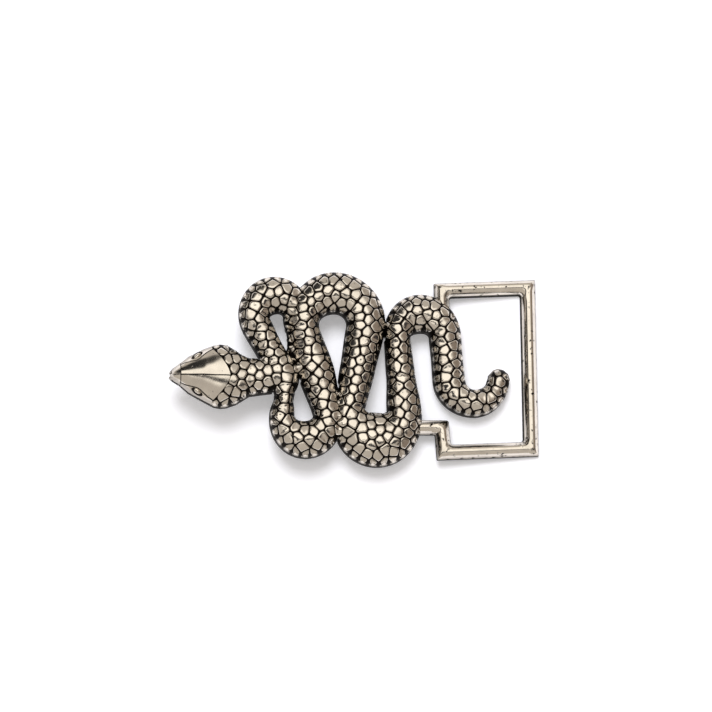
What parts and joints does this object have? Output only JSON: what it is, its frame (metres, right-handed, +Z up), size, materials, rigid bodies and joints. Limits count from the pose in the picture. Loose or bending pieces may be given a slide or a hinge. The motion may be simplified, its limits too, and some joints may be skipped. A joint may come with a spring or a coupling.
{
  "type": "snake hook buckle",
  "caption": "Cast hook buckle shaped as a coiled scaly snake in raised relief, with an open strap frame at one end and a bent rod hook behind the neck.",
  "frame": {"origin": "centre of the bounding box's underside, on the surface that the buckle lies on", "axes": "+X from the snake's head to the strap frame, +Y across the strap, +Z up out of the snake's face"},
  "size_m": [0.0996, 0.0528, 0.0163],
  "materials": {
    "antique_silver": "polished cast white metal with a dark antique finish in the grooves",
    "plain_rod": "plain drawn rod, satin"
  },
  "bodies": {
    "root": {"snake_casting": "antique_silver", "belt_hook": "plain_rod"}
  },
  "joints": []
}
